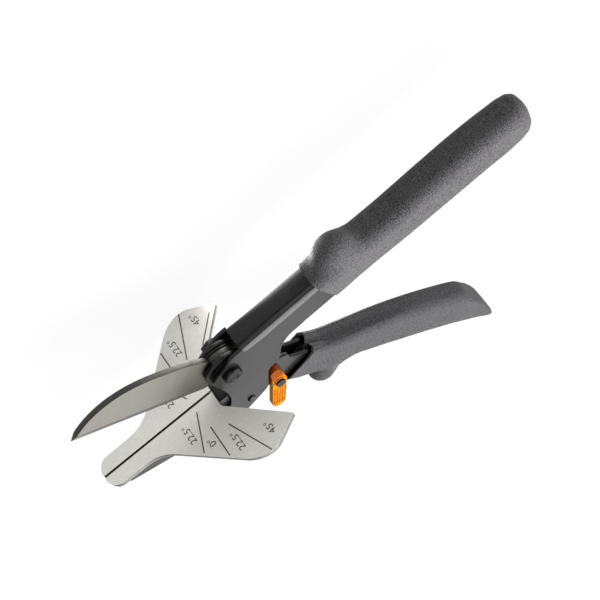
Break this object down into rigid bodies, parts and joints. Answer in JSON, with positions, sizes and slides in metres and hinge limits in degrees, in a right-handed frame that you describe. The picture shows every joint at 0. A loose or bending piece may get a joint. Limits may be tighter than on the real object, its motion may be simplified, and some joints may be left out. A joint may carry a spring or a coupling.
{
  "type": "mitre shears",
  "caption": "Hand-held mitre shears: a curved blade lever closes onto a flat arrow-shaped mitre anvil with angle marks, with a swinging safety latch between the two grips.",
  "frame": {"origin": "middle of the underside of the whole outline, the shears lying on their right side", "axes": "+X from the pivot towards the handle ends, +Y square to the anvil's working face, +Z along the pivot axis, up"},
  "size_m": [0.26, 0.1832, 0.0865],
  "materials": {
    "black_paint": "gloss black enamel",
    "grip_vinyl": "fine pebble grain, matte",
    "anvil_steel": "lengthwise brushed",
    "blade_steel": "ground satin, dark spine",
    "dark_steel": "blackened, satin",
    "zinc_steel": "zinc plated",
    "latch_plastic": "orange, soft gloss"
  },
  "bodies": {
    "anvil_lever": {"upper_handle": "black_paint", "upper_grip": "grip_vinyl", "anvil_plate": "anvil_steel", "anvil_support": "black_paint", "anvil_screw_1": "dark_steel", "anvil_screw_2": "dark_steel", "anvil_screw_3": "dark_steel", "anvil_screw_4": "dark_steel", "pivot_bolt": "dark_steel", "pivot_sleeve": "zinc_steel", "pivot_washer": "dark_steel", "pivot_nut": "dark_steel", "thrust_washer_left": "zinc_steel", "thrust_washer_right": "zinc_steel", "stop_pin": "dark_steel", "catch_bar": "dark_steel", "spring_seat_upper": "dark_steel", "return_spring": "zinc_steel"},
    "blade_lever": {"lower_handle": "black_paint", "lower_grip": "grip_vinyl", "blade": "blade_steel", "blade_spacer_left": "dark_steel", "blade_spacer_right": "dark_steel", "blade_rivet_front": "dark_steel", "blade_rivet_rear": "dark_steel", "spring_seat_lower": "dark_steel"},
    "latch": {"latch_pin": "dark_steel", "latch_pin_clip": "zinc_steel", "latch_lever": "latch_plastic", "latch_hook": "dark_steel"}
  },
  "joints": [
    {"name": "handle_hinge", "type": "hinge", "parent": "anvil_lever", "child": "blade_lever", "pos_m": [-0.04937, 0.05056, 0.04323], "axis": [0, 0, 1], "range_deg": [0, 37], "stiffness_Nm_per_rad": 0.6, "springref_deg": -20.05, "deforming": ["return_spring"]},
    {"name": "latch_hinge", "type": "hinge", "parent": "blade_lever", "child": "latch", "pos_m": [-0.03839, 0.01355, 0.04323], "axis": [0, 0, -1], "range_deg": [0, 25]}
  ]
}
